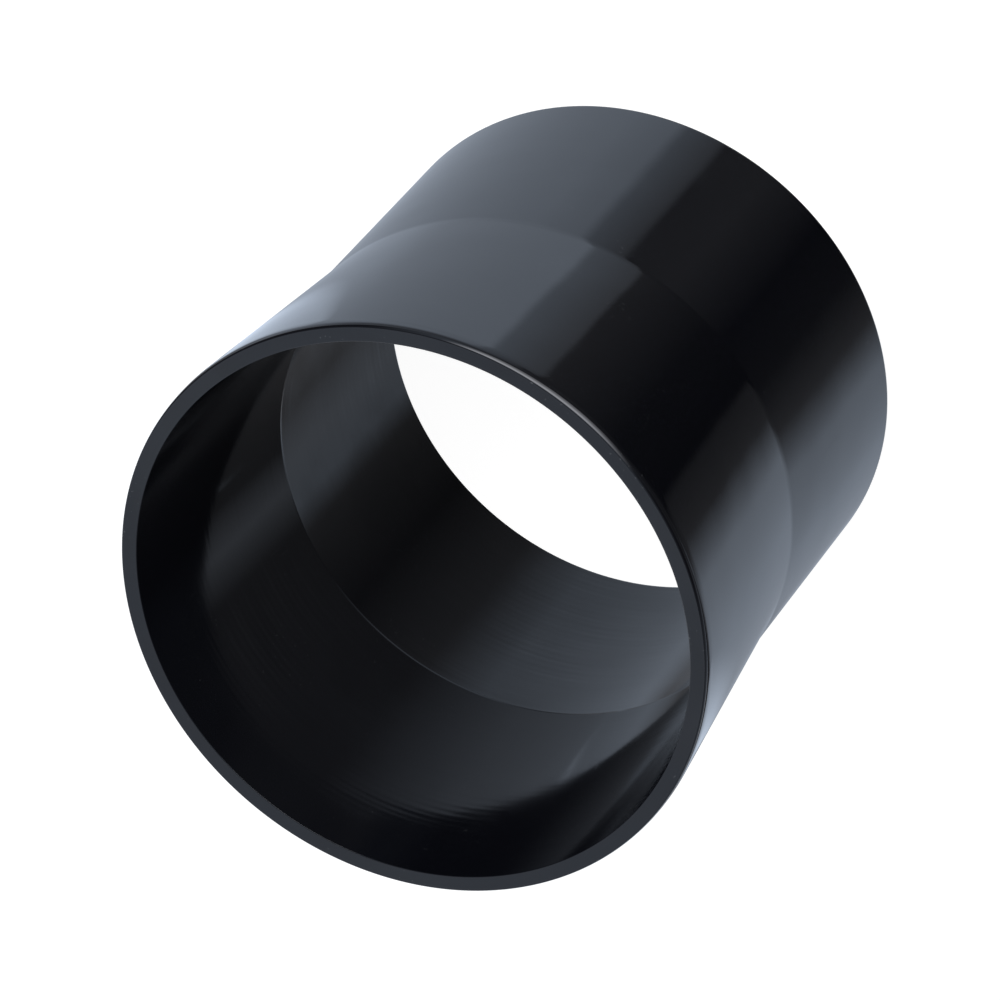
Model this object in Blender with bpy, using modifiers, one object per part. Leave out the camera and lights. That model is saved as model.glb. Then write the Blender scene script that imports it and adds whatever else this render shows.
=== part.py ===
"""A dust hose quick connect adapter: one turned plastic sleeve, open from end to end.

It stands on its hose end with the wide mouth up, and +Z runs along its axis. The mouth slides
over a machine's dust port, and the hose end goes inside a 4 inch hose. Sizes are in metres.
"""

import bmesh
import bpy
from math import pi, tan, atan2, cos, sin
from mathutils import Vector

# Mouth section, a cone that widens towards the mouth and wedges onto the dust port
MOUTH_BORE_DIAMETER = 0.1053
MOUTH_WALL = 0.0033
MOUTH_SECTION_LENGTH = 0.0542

# Hose section, nearly straight, with a little draft so that it slips into the hose
BEND_OUTER_DIAMETER = 0.1016
HOSE_END_OUTER_DIAMETER = 0.1006
HOSE_WALL = 0.0026
HOSE_SECTION_LENGTH = 0.0497

# Edge and bend radii
MOUTH_OUTER_EDGE_RADIUS = 0.0010
MOUTH_INNER_EDGE_RADIUS = 0.0004
HOSE_END_OUTER_EDGE_RADIUS = 0.0009
HOSE_END_INNER_EDGE_RADIUS = 0.0004
OUTER_BEND_RADIUS = 0.0060
INNER_BEND_RADIUS = 0.0030

# Facets
SEGMENTS_AROUND = 192
EDGE_ARC_STEPS = 4
BEND_ARC_STEPS = 2
MERGE_DISTANCE = 0.00001

# Moulded plastic
PLASTIC_COLOUR = (0.010, 0.011, 0.012, 1.0)
PLASTIC_ROUGHNESS = 0.16
PLASTIC_IOR = 1.5


def clear_scene():
    for obj in list(bpy.data.objects):
        bpy.data.objects.remove(obj, do_unlink=True)


def glossy_black_plastic():
    material = bpy.data.materials.new("glossy_black_plastic")
    material.use_nodes = True
    shader = material.node_tree.nodes["Principled BSDF"]
    shader.inputs["Base Color"].default_value = PLASTIC_COLOUR
    shader.inputs["Metallic"].default_value = 0.0
    shader.inputs["Roughness"].default_value = PLASTIC_ROUGHNESS
    shader.inputs["IOR"].default_value = PLASTIC_IOR
    material.diffuse_color = PLASTIC_COLOUR
    return material


def rounded_corner(before, corner, after, radius, steps):
    """The points of an arc that rounds one corner of a profile, tangent to both its sides."""
    back = (before - corner).normalized()
    ahead = (after - corner).normalized()
    half_angle = back.angle(ahead) / 2
    run = radius / tan(half_angle)
    centre = corner + (back + ahead).normalized() * (radius / sin(half_angle))
    start = corner + back * run - centre
    end = corner + ahead * run - centre
    first = atan2(start.y, start.x)
    turn = (atan2(end.y, end.x) - first + pi) % (2 * pi) - pi
    angles = [first + turn * step / steps for step in range(steps + 1)]
    return [centre + radius * Vector((cos(angle), sin(angle))) for angle in angles]


def sleeve_corners():
    """The wall's six corners as (radius, height), with the radius and arc steps of each.

    They run down the outer side from the mouth, then up the bore.
    """
    length = HOSE_SECTION_LENGTH + MOUTH_SECTION_LENGTH
    mouth_bore = MOUTH_BORE_DIAMETER / 2
    bend_outer = BEND_OUTER_DIAMETER / 2
    hose_outer = HOSE_END_OUTER_DIAMETER / 2
    return [
        (Vector((mouth_bore + MOUTH_WALL, length)), MOUTH_OUTER_EDGE_RADIUS, EDGE_ARC_STEPS),
        (Vector((bend_outer, HOSE_SECTION_LENGTH)), OUTER_BEND_RADIUS, BEND_ARC_STEPS),
        (Vector((hose_outer, 0.0)), HOSE_END_OUTER_EDGE_RADIUS, EDGE_ARC_STEPS),
        (Vector((hose_outer - HOSE_WALL, 0.0)), HOSE_END_INNER_EDGE_RADIUS, EDGE_ARC_STEPS),
        (Vector((bend_outer - HOSE_WALL, HOSE_SECTION_LENGTH)), INNER_BEND_RADIUS, BEND_ARC_STEPS),
        (Vector((mouth_bore, length)), MOUTH_INNER_EDGE_RADIUS, EDGE_ARC_STEPS),
    ]


def sleeve_profile():
    """The closed outline of the wall's section, with every corner rounded."""
    corners = sleeve_corners()
    points = []
    for index, (corner, radius, steps) in enumerate(corners):
        before = corners[index - 1][0]
        after = corners[(index + 1) % len(corners)][0]
        points += rounded_corner(before, corner, after, radius, steps)
    return points


def turned_object(name, profile, material, collection):
    """Spin a closed profile once round the Z axis."""
    mesh = bpy.data.meshes.new(name)
    sketch = bmesh.new()
    verts = [sketch.verts.new((point.x, 0.0, point.y)) for point in profile]
    for index, vert in enumerate(verts):
        sketch.edges.new((vert, verts[(index + 1) % len(verts)]))
    sketch.to_mesh(mesh)
    sketch.free()
    mesh.materials.append(material)

    obj = bpy.data.objects.new(name, mesh)
    collection.objects.link(obj)
    screw = obj.modifiers.new("turn round the axis", "SCREW")
    screw.axis = "Z"
    screw.angle = 2 * pi
    screw.steps = SEGMENTS_AROUND
    screw.render_steps = SEGMENTS_AROUND
    screw.use_merge_vertices = True
    screw.merge_threshold = MERGE_DISTANCE
    screw.use_smooth_shade = True
    shading = obj.modifiers.new("flat faces shade flat", "WEIGHTED_NORMAL")
    shading.mode = "FACE_AREA"
    return obj


def main():
    clear_scene()
    collection = bpy.data.collections.new("dust_hose_quick_connect_adapter")
    bpy.context.scene.collection.children.link(collection)
    turned_object("adapter_body", sleeve_profile(), glossy_black_plastic(), collection)


main()
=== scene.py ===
from math import pi, radians

import bpy
from mathutils import Matrix, Vector


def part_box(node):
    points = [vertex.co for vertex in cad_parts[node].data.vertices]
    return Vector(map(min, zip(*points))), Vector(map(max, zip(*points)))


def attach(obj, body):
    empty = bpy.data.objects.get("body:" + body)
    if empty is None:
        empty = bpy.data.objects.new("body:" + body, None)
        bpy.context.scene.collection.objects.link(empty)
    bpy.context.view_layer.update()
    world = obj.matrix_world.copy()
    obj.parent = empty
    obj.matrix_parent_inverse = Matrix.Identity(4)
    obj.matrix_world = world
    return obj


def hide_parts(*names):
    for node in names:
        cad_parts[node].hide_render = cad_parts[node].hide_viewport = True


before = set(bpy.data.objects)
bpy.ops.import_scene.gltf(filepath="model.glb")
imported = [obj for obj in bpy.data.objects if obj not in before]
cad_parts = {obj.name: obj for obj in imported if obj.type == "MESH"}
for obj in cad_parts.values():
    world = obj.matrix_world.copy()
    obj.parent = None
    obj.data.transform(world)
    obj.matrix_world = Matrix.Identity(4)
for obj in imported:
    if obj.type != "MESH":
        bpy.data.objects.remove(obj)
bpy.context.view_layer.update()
print("frame loaded")

# Picture

picture = {
    "lens": 381.08,                       # on the 36 mm sensor
    "aim": (0.00092, 0.00437, 0.05512),
    "distance": 1.897,
    "elevation": 54.006,
    "roll": -139.386,                     # the photo was turned to bring the mouth to the lower left
    "clip": (0.05, 20),
}


def setUpCamera():
    turned = (Matrix.Rotation(radians(90 - picture["elevation"]), 4, "X")
              @ Matrix.Rotation(radians(picture["roll"]), 4, "Z"))
    away = turned @ Vector((0, 0, picture["distance"]))
    bpy.ops.object.camera_add(location=Vector(picture["aim"]) + away, rotation=turned.to_euler())
    camera = bpy.context.object
    camera.name = "photoCamera"
    camera.data.lens = picture["lens"]
    camera.data.clip_start, camera.data.clip_end = picture["clip"]
    bpy.context.scene.camera = camera
    bpy.context.scene.view_settings.view_transform = "Standard"


# Sleeve

sleeve = {
    "sides": 384,                         # facets round the axis
    "length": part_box("adapter_body")[1][2],      # the CAD part stands on the floor
    "bendHeight": 0.0500,                 # where both walls change their taper
    "mouthRadius": 0.05595,               # outer radii
    "bendRadius": 0.0508,
    "hoseRadius": 0.0503,
    "mouthBore": 0.05265,                 # inner radii
    "bendBore": 0.0482,
    "hoseBore": 0.0477,
    # how far each rounding reaches (along the side before, along the side after) and its steps,
    # going up the outside, across the mouth's face and down the bore
    "hoseEdge": (0.0009, 0.0009, 8),
    "bendEdge": (0.0009, 0.0009, 6),
    "mouthEdge": (0.0034, 0.0006, 16),
    "mouthBoreEdge": (0.00018, 0.00012, 4),
    "hoseBoreEdge": (0.0005, 0.0003, 6),
    # the fine raised line where the mould's two cores meet, at the bend of the bore:
    # how far up the mouth's wall and how far in from it
    "witness": ((0.00034, 0), (0.00027, 0.000004), (0.00011, 0.000015), (-0.00005, 0.000026),
                (-0.00009, 0.000027), (-0.00012, 0.000016), (-0.00015, -0.000002),
                (-0.000175, -0.0000127)),
}


def roundedCorner(before, corner, after, reachBefore, reachAfter, steps):
    start = corner + (before - corner).normalized() * reachBefore
    end = corner + (after - corner).normalized() * reachAfter
    points = []
    for step in range(steps + 1):
        t = step / steps
        points.append(start * (1 - t) ** 2 + corner * 2 * t * (1 - t) + end * t ** 2)
    return points


def witnessLine(mouth, corner):
    up = (mouth - corner).normalized()
    return [corner + up * along - Vector((rise, 0)) for along, rise in sleeve["witness"]]


def sleeveProfile():
    # the wall's section as (radius, height), once round, starting at the hose end's outer edge
    corners = [
        (Vector((sleeve["hoseRadius"], 0)), "hoseEdge"),
        (Vector((sleeve["bendRadius"], sleeve["bendHeight"])), "bendEdge"),
        (Vector((sleeve["mouthRadius"], sleeve["length"])), "mouthEdge"),
        (Vector((sleeve["mouthBore"], sleeve["length"])), "mouthBoreEdge"),
        (Vector((sleeve["bendBore"], sleeve["bendHeight"])), None),
        (Vector((sleeve["hoseBore"], 0)), "hoseBoreEdge"),
    ]
    profile = []
    for i, (corner, edge) in enumerate(corners):
        before = corners[i - 1][0]
        after = corners[(i + 1) % len(corners)][0]
        if edge:
            profile += roundedCorner(before, corner, after, *sleeve[edge])
        else:
            profile += witnessLine(before, corner)
    return profile


def turnSleeve():
    profile = sleeveProfile()
    radius, height = profile[0]
    bpy.ops.object.select_all(action="DESELECT")
    bpy.ops.mesh.primitive_circle_add(vertices=sleeve["sides"], radius=radius, fill_type="NOTHING",
                                      location=(0, 0, height))
    piece = bpy.context.object
    piece.name = "sleeve"
    bpy.ops.object.mode_set(mode="EDIT")
    bpy.ops.mesh.select_mode(type="EDGE")
    bpy.ops.mesh.select_all(action="SELECT")
    for newRadius, newHeight in profile[1:]:                       # ring after ring round the wall
        rise = (0, 0, newHeight - height)
        bpy.ops.mesh.extrude_region_move(TRANSFORM_OT_translate={"value": rise})
        grow = newRadius / radius
        bpy.ops.transform.resize(value=(grow, grow, 1), center_override=(0, 0, newHeight))
        radius, height = newRadius, newHeight
    bpy.ops.mesh.select_all(action="DESELECT")
    bpy.ops.mesh.select_non_manifold()                             # the first ring and the last
    bpy.ops.mesh.bridge_edge_loops()
    bpy.ops.mesh.select_all(action="SELECT")
    bpy.ops.mesh.normals_make_consistent(inside=False)
    bpy.ops.object.mode_set(mode="OBJECT")
    bpy.ops.object.transform_apply(location=True, rotation=True, scale=True)
    bpy.ops.object.shade_smooth()
    flatten = piece.modifiers.new("flat faces shade flat", "WEIGHTED_NORMAL")
    flatten.mode = "FACE_AREA"
    bpy.ops.object.modifier_apply(modifier=flatten.name)
    return piece


# Plastic: black, glossy from the mould on the walls, satin on the two end faces

plastic = {
    "colour": (0.0027, 0.0030, 0.0050, 1),
    "dustColour": (0.060, 0.064, 0.070, 1),
    "ior": 1.5,
    # roughness from the cleanest to the cloudiest places and on the scuffs, the shares of dust and
    # of worn film, and the bump heights of the waves and the rings
    "wall": {"clear": 0.050, "cloudy": 0.085, "scuffed": 0.22, "dust": 0.4, "film": 0.0,
             "waves": 0.000080, "rings": 0.0},
    "bore": {"clear": 0.085, "cloudy": 0.130, "scuffed": 0.24, "dust": 0.25, "film": 0.0,
             "waves": 0.000072, "rings": 0.0000011},
    "face": {"clear": 0.30, "cloudy": 0.42, "scuffed": 0.55, "dust": 0.8, "film": 0.07,
             "waves": 0.000240, "rings": 0.0},
    "waveScale": 55.0,
    "ringSpacing": 0.0017,
    "levelFace": 0.995,                   # an end face's normal is at least this upright
}


def link(tree, source, target):
    tree.links.new(source, target)


def give(tree, socket, value):
    if isinstance(value, bpy.types.NodeSocket):
        link(tree, value, socket)
    else:
        socket.default_value = value


def addMath(tree, operation, *values):
    node = tree.nodes.new("ShaderNodeMath")
    node.operation = operation
    for i, value in enumerate(values):
        give(tree, node.inputs[i], value)
    return node.outputs[0]


def addRange(tree, value, low, high, toLow=0.0, toHigh=1.0):
    node = tree.nodes.new("ShaderNodeMapRange")
    node.interpolation_type = "SMOOTHSTEP"
    for socket, setting in (("From Min", low), ("From Max", high), ("To Min", toLow), ("To Max", toHigh)):
        give(tree, node.inputs[socket], setting)
    give(tree, node.inputs["Value"], value)
    return node.outputs["Result"]


def addMixColour(tree, share, low, high):
    node = tree.nodes.new("ShaderNodeMix")
    node.data_type = "RGBA"
    for i, value in ((0, share), (6, low), (7, high)):
        give(tree, node.inputs[i], value)
    return node.outputs[2]


def addNoise(tree, vector, scale, detail=2.0, roughness=0.5):
    node = tree.nodes.new("ShaderNodeTexNoise")
    settings = {"Vector": vector, "Scale": scale, "Detail": detail, "Roughness": roughness}
    for socket, setting in settings.items():
        give(tree, node.inputs[socket], setting)
    return node.outputs["Fac"]


def addPatches(tree, vector, patches):
    noise = addNoise(tree, vector, patches["scale"], patches["detail"], patches["roughness"])
    return addRange(tree, noise, *patches["shows"])


def addStretch(tree, vector, across, along):
    node = tree.nodes.new("ShaderNodeMapping")
    give(tree, node.inputs["Vector"], vector)
    node.inputs["Scale"].default_value = (across, across, along)
    return node.outputs[0]


def newGroup(name, inputs, outputs):
    group = bpy.data.node_groups.new(name, "ShaderNodeTree")
    for label, kind in inputs:
        group.interface.new_socket(label, in_out="INPUT", socket_type=kind)
    for label, kind in outputs:
        group.interface.new_socket(label, in_out="OUTPUT", socket_type=kind)
    start = group.nodes.new("NodeGroupInput")
    end = group.nodes.new("NodeGroupOutput")
    return group, start.outputs, end.inputs


# Mould skin, on every surface: slow waves, orange peel, cloudy gloss, dust and drag marks

mouldSkin = {
    "peelScale": 700.0,
    "peelHeight": 0.03,                   # beside the waves
    "dragStretch": (1400.0, 26.0),        # noise scale across and along the axis
    # the noise of each kind of patch, and the part of it that shows
    "cloud": {"scale": 38.0, "detail": 4.0, "roughness": 0.6, "shows": (0.38, 0.66)},
    "dustGrain": {"scale": 1500.0, "detail": 1.0, "roughness": 0.5, "shows": (0.70, 0.76)},
    "dustPlace": {"scale": 90.0, "detail": 2.0, "roughness": 0.5, "shows": (0.52, 0.66)},
    "film": {"scale": 24.0, "detail": 1.0, "roughness": 0.5, "shows": (0.42, 0.64)},
    "drag": {"scale": 1.0, "detail": 2.0, "roughness": 0.5, "shows": (0.66, 0.74)},
    "dragPlace": {"scale": 55.0, "detail": 2.0, "roughness": 0.5, "shows": (0.55, 0.68)},
}


def makeMouldSkin():
    group, given, out = newGroup(
        "mouldSkin",
        [("Vector", "NodeSocketVector"), ("Wave Scale", "NodeSocketFloat"),
         ("Dust Amount", "NodeSocketFloat")],
        [("Height", "NodeSocketFloat"), ("Cloud", "NodeSocketFloat"), ("Dust", "NodeSocketFloat"),
         ("Film", "NodeSocketFloat"), ("Scuffs", "NodeSocketFloat")])
    vector = given["Vector"]
    waves = addNoise(group, vector, given["Wave Scale"], 1.0)
    peel = addNoise(group, vector, mouldSkin["peelScale"])
    height = addMath(group, "MULTIPLY_ADD", peel, mouldSkin["peelHeight"], waves)
    link(group, height, out["Height"])
    link(group, addPatches(group, vector, mouldSkin["cloud"]), out["Cloud"])
    specks = addMath(group, "MULTIPLY", addPatches(group, vector, mouldSkin["dustGrain"]),
                     addPatches(group, vector, mouldSkin["dustPlace"]))
    link(group, addMath(group, "MULTIPLY", specks, given["Dust Amount"]), out["Dust"])
    link(group, addPatches(group, vector, mouldSkin["film"]), out["Film"])
    stretched = addStretch(group, vector, *mouldSkin["dragStretch"])
    scuffs = addMath(group, "MULTIPLY", addPatches(group, stretched, mouldSkin["drag"]),
                     addPatches(group, vector, mouldSkin["dragPlace"]))
    link(group, scuffs, out["Scuffs"])
    return group


# Mould rings: fine rings round the axis of the bore, from the tool marks of the mould's core

mouldRings = {
    "wander": 1.6,                        # how far the rings stray, in ring spacings
    "wanderStretch": (9.0, 120.0),        # noise scale across and along the axis
    "coarseEvery": 2.55,                  # fine rings for each coarse one
    "coarseHeight": 1.4,                  # beside the fine rings
    "patchStretch": (30.0, 60.0),
    "patchShows": (0.35, 0.65),
}


def makeMouldRings():
    group, given, out = newGroup(
        "mouldRings",
        [("Vector", "NodeSocketVector"), ("Spacing", "NodeSocketFloat")],
        [("Height", "NodeSocketFloat")])
    split = group.nodes.new("ShaderNodeSeparateXYZ")
    link(group, given["Vector"], split.inputs[0])
    wander = addNoise(group, addStretch(group, given["Vector"], *mouldRings["wanderStretch"]), 1.0)
    turns = addMath(group, "DIVIDE", split.outputs["Z"], given["Spacing"])
    turns = addMath(group, "MULTIPLY_ADD", wander, mouldRings["wander"], turns)
    fine = addMath(group, "SINE", addMath(group, "MULTIPLY", turns, 2 * pi))
    coarseTurns = addMath(group, "MULTIPLY", turns, 2 * pi / mouldRings["coarseEvery"])
    coarse = addMath(group, "SINE", coarseTurns)
    both = addMath(group, "MULTIPLY_ADD", coarse, mouldRings["coarseHeight"], fine)
    patches = addNoise(group, addStretch(group, given["Vector"], *mouldRings["patchStretch"]), 1.0)
    fade = addRange(group, patches, *mouldRings["patchShows"])
    link(group, addMath(group, "MULTIPLY", both, fade), out["Height"])
    return group


def placeGroup(tree, group, values):
    node = tree.nodes.new("ShaderNodeGroup")
    node.node_tree = group
    for socket, value in values.items():
        give(tree, node.inputs[socket], value)
    return node.outputs


def paintPlastic(name, finish, skin, rings):
    material = bpy.data.materials.new(name)
    material.use_nodes = True
    tree = material.node_tree
    shader = tree.nodes["Principled BSDF"]
    shader.inputs["IOR"].default_value = plastic["ior"]
    place = tree.nodes.new("ShaderNodeTexCoord").outputs["Object"]
    found = placeGroup(tree, skin, {"Vector": place, "Wave Scale": plastic["waveScale"],
                                    "Dust Amount": finish["dust"]})
    dust = addMath(tree, "MULTIPLY_ADD", found["Film"], finish["film"], found["Dust"])
    link(tree, addMixColour(tree, dust, plastic["colour"], plastic["dustColour"]),
         shader.inputs["Base Color"])
    roughness = addRange(tree, found["Cloud"], 0, 1, finish["clear"], finish["cloudy"])
    roughness = addRange(tree, found["Scuffs"], 0, 1, roughness, finish["scuffed"])
    link(tree, roughness, shader.inputs["Roughness"])
    bump = tree.nodes.new("ShaderNodeBump")
    bump.inputs["Distance"].default_value = finish["waves"]
    link(tree, found["Height"], bump.inputs["Height"])
    if finish["rings"]:
        ringBump = tree.nodes.new("ShaderNodeBump")
        ringBump.inputs["Distance"].default_value = finish["rings"]
        marks = placeGroup(tree, rings, {"Vector": place, "Spacing": plastic["ringSpacing"]})
        link(tree, marks["Height"], ringBump.inputs["Height"])
        link(tree, bump.outputs[0], ringBump.inputs["Normal"])
        bump = ringBump
    link(tree, bump.outputs[0], shader.inputs["Normal"])
    return material


def paintSleeve(piece):
    skin, rings = makeMouldSkin(), makeMouldRings()
    for name, finish in (("wallBlack", "wall"), ("boreBlack", "bore"), ("faceBlack", "face")):
        piece.data.materials.append(paintPlastic(name, plastic[finish], skin, rings))
    for face in piece.data.polygons:
        outward = Vector((face.center.x, face.center.y, 0)).normalized()
        if abs(face.normal.z) > plastic["levelFace"]:
            face.material_index = 2
        elif face.normal.dot(outward) < 0:
            face.material_index = 1
        else:
            face.material_index = 0


# Studio: a pale floor, a soft lamp, and a room whose light and dark sides the gloss mirrors

studio = {
    "floorSize": 6,
    "floorDrop": 0.0002,                  # a hair under the hose end, so that the two don't mix
    "floorRoughness": 0.8,
    "floorColour": (0.25, 0.25, 0.25, 1),
    "floorGlow": 0.92,                    # what the camera sees of the floor apart from its lamp light
    "plainLight": 0.75,                   # world light on dull surfaces
    "lampPower": 12,
    "lampSize": 0.8,
    "lampPlace": (0.5, -0.6, 1.2),
    "darkTint": (0.98, 1.0, 1.08),        # the dark sides are nearly plain, the light ones cool
    "lightTint": (0.87, 1.0, 1.20),
    "tintRange": (0.12, 0.46),            # the light at which each tint is reached
    "lampLevel": 1,                       # anything brighter is a lamp and stays plain
    # the room in bands, from straight down to straight up: lowest and highest elevation, and the
    # edges of its light and dark sides by azimuth (0 at the front, positive to +X)
    "bands": [
        (-90, -73, [(-180, 0.02), (180, 0.02)]),
        (-69, -60.5, [(-180, 0.4), (-150, 0.4), (-125, 0.65), (-94, 0.65), (-73, 0.1), (-55, 0.06),
                      (-51, 0.01), (-20, 0.02), (21, 0.1), (24, 0.3), (47, 0.5), (51, 0.85), (180, 0.4)]),
        (-58.5, -54.9, [(-180, 0.42), (-160, 0.4), (-130, 0.6), (-92, 0.67), (-72, 0.13), (-50, 0.03),
                        (-25, 0.015), (5, 0.12), (27, 0.1), (30, 0.3), (45, 0.5), (50, 0.85), (70, 0.9),
                        (180, 0.42)]),
        (-53.7, -51.6, [(-180, 0.3), (-150, 0.1), (-112, 0.12), (-88, 0.36), (-69, 0.45), (-57, 0.12),
                        (-20, 0.04), (20, 0.15), (47, 0.5), (118, 0.6), (132, 0.22), (180, 0.3)]),
        (-50.2, -47.8, [(-155, 1.0), (-143, 0.06), (-90, 0.06), (-70, 0.1), (-45, 0.06), (15, 0.08),
                        (50, 0.27), (88, 0.32), (98, 0.5), (118, 0.5), (135, 0.14), (150, 0.14),
                        (160, 1.0)]),
        (-46.5, -44.0, [(-155, 1.0), (-143, 0.06), (-90, 0.06), (-73, 0.32), (-57, 0.08), (15, 0.08),
                        (60, 0.4), (118, 0.52), (135, 0.14), (150, 0.14), (160, 1.0)]),
        (-41.8, -40.8, [(-180, 1.2), (-108, 1.7), (-92, 0.9), (-56, 0.18), (0, 0.09), (20, 0.1),
                        (60, 0.42), (180, 1.2)]),
        (-37.5, 5, [(-160, 2.0), (-150, 0.6), (-95, 0.45), (-60, 0.05), (-32, 0.07), (0, 0.42),
                    (40, 0.7), (70, 0.06), (130, 0.06), (148, 0.6), (158, 2.0)]),
        (35, 70, [(-150, 0.75), (-130, 0.25), (-50, 0.25), (-30, 0.5), (30, 0.5), (50, 0.2), (130, 0.2),
                  (150, 0.75)]),
        (80, 90, [(-180, 0.3), (180, 0.3)]),
    ],
    # cards that only the gloss sees: middle, width and height, tilt, where the sides and the ends
    # begin to fade (0.5 is the edge), and the light from the bottom to the top
    "cards": {
        "softbox": {"middle": (0.105, -0.356, 0.035), "size": (0.50, 0.55), "tilt": 0,
                    "fade": (0.18, 0.46),
                    "light": [(0, 1.2), (0.08, 1.5), (0.19, 2.2), (0.30, 3.8), (0.52, 6.5), (0.72, 5.0),
                              (1, 1.2)]},
        "rightCard": {"middle": (0.1376, 0.056, -0.0905), "size": (0.042, 0.245), "tilt": -36.9,
                      "fade": (0.25, 0.46), "light": [(0, 0.97), (1, 0.90)]},
        "leftCard": {"middle": (-0.143, 0.056, -0.077), "size": (0.054, 0.22), "tilt": 36.9,
                     "fade": (0.22, 0.46), "light": [(0, 0.85), (1, 0.85)]},
    },
}


def tinted(light):
    low, high = studio["tintRange"]
    share = max(0, min((light - low) / (high - low), 1)) if light <= studio["lampLevel"] else 0
    tints = zip(studio["darkTint"], studio["lightTint"])
    return [light * (dark + (bright - dark) * share) for dark, bright in tints] + [1]


def addRamp(tree, along, stops):
    ramp = tree.nodes.new("ShaderNodeValToRGB")
    elements = ramp.color_ramp.elements
    for i, (place, light) in enumerate(stops):
        element = elements[i] if i < 2 else elements.new(place)
        element.position = place
        element.color = tinted(light)
    link(tree, along, ramp.inputs[0])
    return ramp.outputs[0]


def setUpRoom():
    world = bpy.data.worlds.new("room")
    bpy.context.scene.world = world
    world.use_nodes = True
    tree = world.node_tree
    tree.nodes.clear()
    place = tree.nodes.new("ShaderNodeTexCoord")
    split = tree.nodes.new("ShaderNodeSeparateXYZ")
    link(tree, place.outputs["Generated"], split.inputs[0])
    x, y, z = split.outputs
    degrees = addMath(tree, "DEGREES", addMath(tree, "ARCTAN2", x, addMath(tree, "MULTIPLY", y, -1.0)))
    turn = addMath(tree, "MULTIPLY_ADD", degrees, 1 / 360, 0.5)
    elevation = addMath(tree, "DEGREES", addMath(tree, "ARCSINE", z))
    light, top = None, None
    for lowest, highest, stops in studio["bands"]:
        ring = addRamp(tree, turn, [((azimuth + 180) / 360, level) for azimuth, level in stops])
        light = ring if light is None else addMixColour(
            tree, addRange(tree, elevation, top, lowest), light, ring)
        top = highest
    paths = tree.nodes.new("ShaderNodeLightPath")
    seen = addMath(tree, "MAXIMUM", paths.outputs["Is Camera Ray"], paths.outputs["Is Transmission Ray"])
    mirrored = tree.nodes.new("ShaderNodeBackground")
    link(tree, light, mirrored.inputs["Color"])
    plain = tree.nodes.new("ShaderNodeBackground")
    link(tree, addRange(tree, seen, 0, 1, studio["plainLight"], 1.0), plain.inputs["Strength"])
    choose = tree.nodes.new("ShaderNodeMixShader")
    link(tree, paths.outputs["Is Glossy Ray"], choose.inputs[0])
    link(tree, plain.outputs[0], choose.inputs[1])
    link(tree, mirrored.outputs[0], choose.inputs[2])
    output = tree.nodes.new("ShaderNodeOutputWorld")
    link(tree, choose.outputs[0], output.inputs[0])


def setUpFloor():
    bpy.ops.mesh.primitive_plane_add(size=studio["floorSize"], location=(0, 0, -studio["floorDrop"]))
    floor = bpy.context.object
    floor.name = "floor"
    floor.visible_glossy = False          # the gloss mirrors the room instead
    material = bpy.data.materials.new("paleFloor")
    material.use_nodes = True
    tree = material.node_tree
    shader = tree.nodes["Principled BSDF"]
    shader.inputs["Base Color"].default_value = studio["floorColour"]
    shader.inputs["Roughness"].default_value = studio["floorRoughness"]
    shader.inputs["Emission Color"].default_value = (1, 1, 1, 1)
    paths = tree.nodes.new("ShaderNodeLightPath")
    seen = addMath(tree, "MAXIMUM", paths.outputs["Is Camera Ray"], paths.outputs["Is Transmission Ray"])
    link(tree, addMath(tree, "MULTIPLY", seen, studio["floorGlow"]), shader.inputs["Emission Strength"])
    below = tree.nodes.new("ShaderNodeNewGeometry").outputs["Backfacing"]
    clear = tree.nodes.new("ShaderNodeBsdfTransparent")
    choose = tree.nodes.new("ShaderNodeMixShader")                 # see-through from underneath
    link(tree, below, choose.inputs[0])
    link(tree, shader.outputs[0], choose.inputs[1])
    link(tree, clear.outputs[0], choose.inputs[2])
    link(tree, choose.outputs[0], tree.nodes["Material Output"].inputs["Surface"])
    floor.data.materials.append(material)


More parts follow.
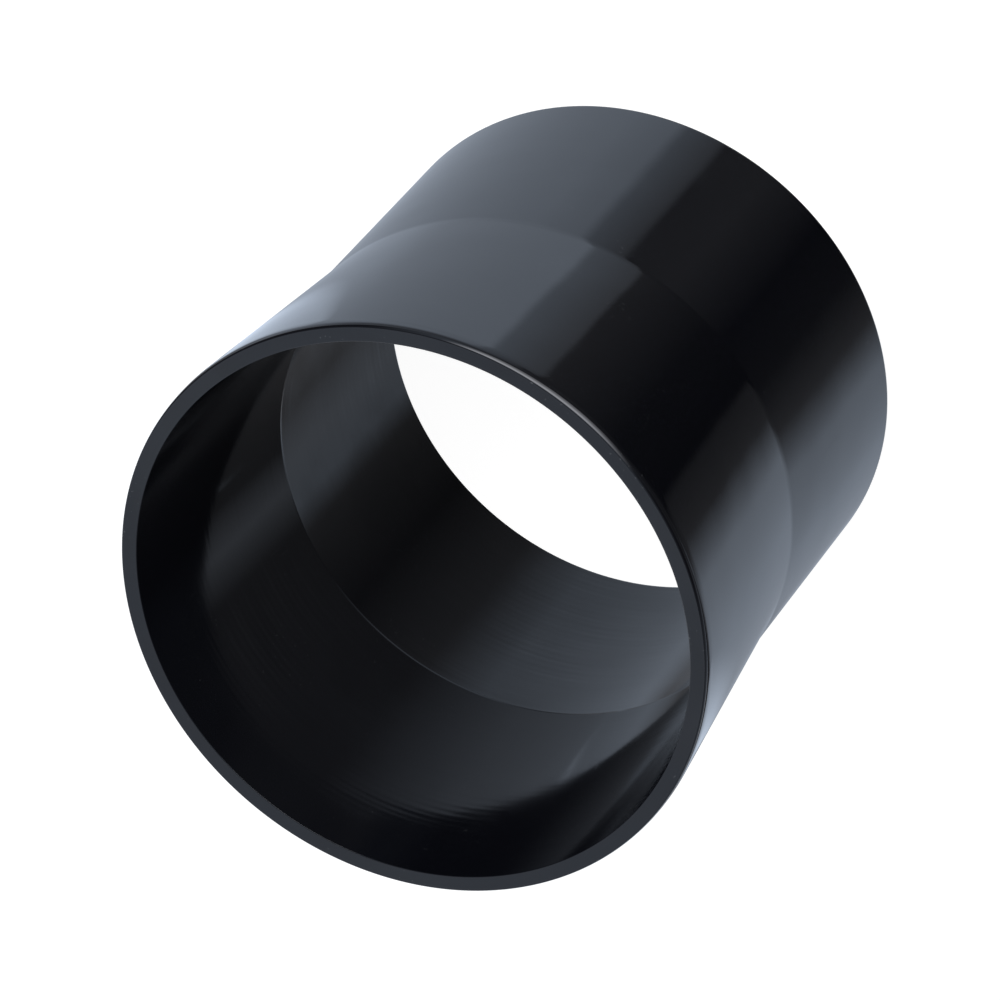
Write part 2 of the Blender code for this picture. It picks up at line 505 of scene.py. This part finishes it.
def setUpCard(name, card):
    edge = 0.5                                                     # on the card's own unit plane
    bpy.ops.mesh.primitive_plane_add(size=2 * edge, location=card["middle"],
                                     rotation=(pi / 2, radians(card["tilt"]), 0))
    panel = bpy.context.object
    panel.name = name
    panel.scale = (*card["size"], 1)
    panel.visible_camera = panel.visible_diffuse = False
    panel.visible_transmission = panel.visible_shadow = False
    material = bpy.data.materials.new(name)
    material.use_nodes = True
    tree = material.node_tree
    tree.nodes.clear()
    split = tree.nodes.new("ShaderNodeSeparateXYZ")
    link(tree, tree.nodes.new("ShaderNodeTexCoord").outputs["Object"], split.inputs[0])
    across, along = split.outputs["X"], split.outputs["Y"]
    glow = tree.nodes.new("ShaderNodeEmission")
    link(tree, addRamp(tree, addMath(tree, "ADD", along, edge), card["light"]), glow.inputs["Color"])
    clear = tree.nodes.new("ShaderNodeBsdfTransparent")
    fromSide = addRange(tree, addMath(tree, "ABSOLUTE", across), edge, card["fade"][0])
    fromEnd = addRange(tree, addMath(tree, "ABSOLUTE", along), edge, card["fade"][1])
    choose = tree.nodes.new("ShaderNodeMixShader")                 # soft edges
    link(tree, addMath(tree, "MULTIPLY", fromSide, fromEnd), choose.inputs[0])
    link(tree, clear.outputs[0], choose.inputs[1])
    link(tree, glow.outputs[0], choose.inputs[2])
    output = tree.nodes.new("ShaderNodeOutputMaterial")
    link(tree, choose.outputs[0], output.inputs["Surface"])
    panel.data.materials.append(material)


def setUpLamp():
    place = Vector(studio["lampPlace"])
    bpy.ops.object.light_add(type="AREA", location=place,
                             rotation=place.to_track_quat("Z", "Y").to_euler())
    lamp = bpy.context.object
    lamp.name = "softLamp"
    lamp.data.energy = studio["lampPower"]
    lamp.data.size = studio["lampSize"]
    lamp.visible_glossy = False           # the softbox card stands for it in the gloss


setUpCamera()
setUpRoom()
setUpFloor()
setUpLamp()
for cardName, cardValues in studio["cards"].items():
    setUpCard(cardName, cardValues)
print("studio set up")

body = turnSleeve()
paintSleeve(body)
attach(body, "root")
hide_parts("adapter_body")
print("sleeve turned:", len(body.data.polygons), "faces")
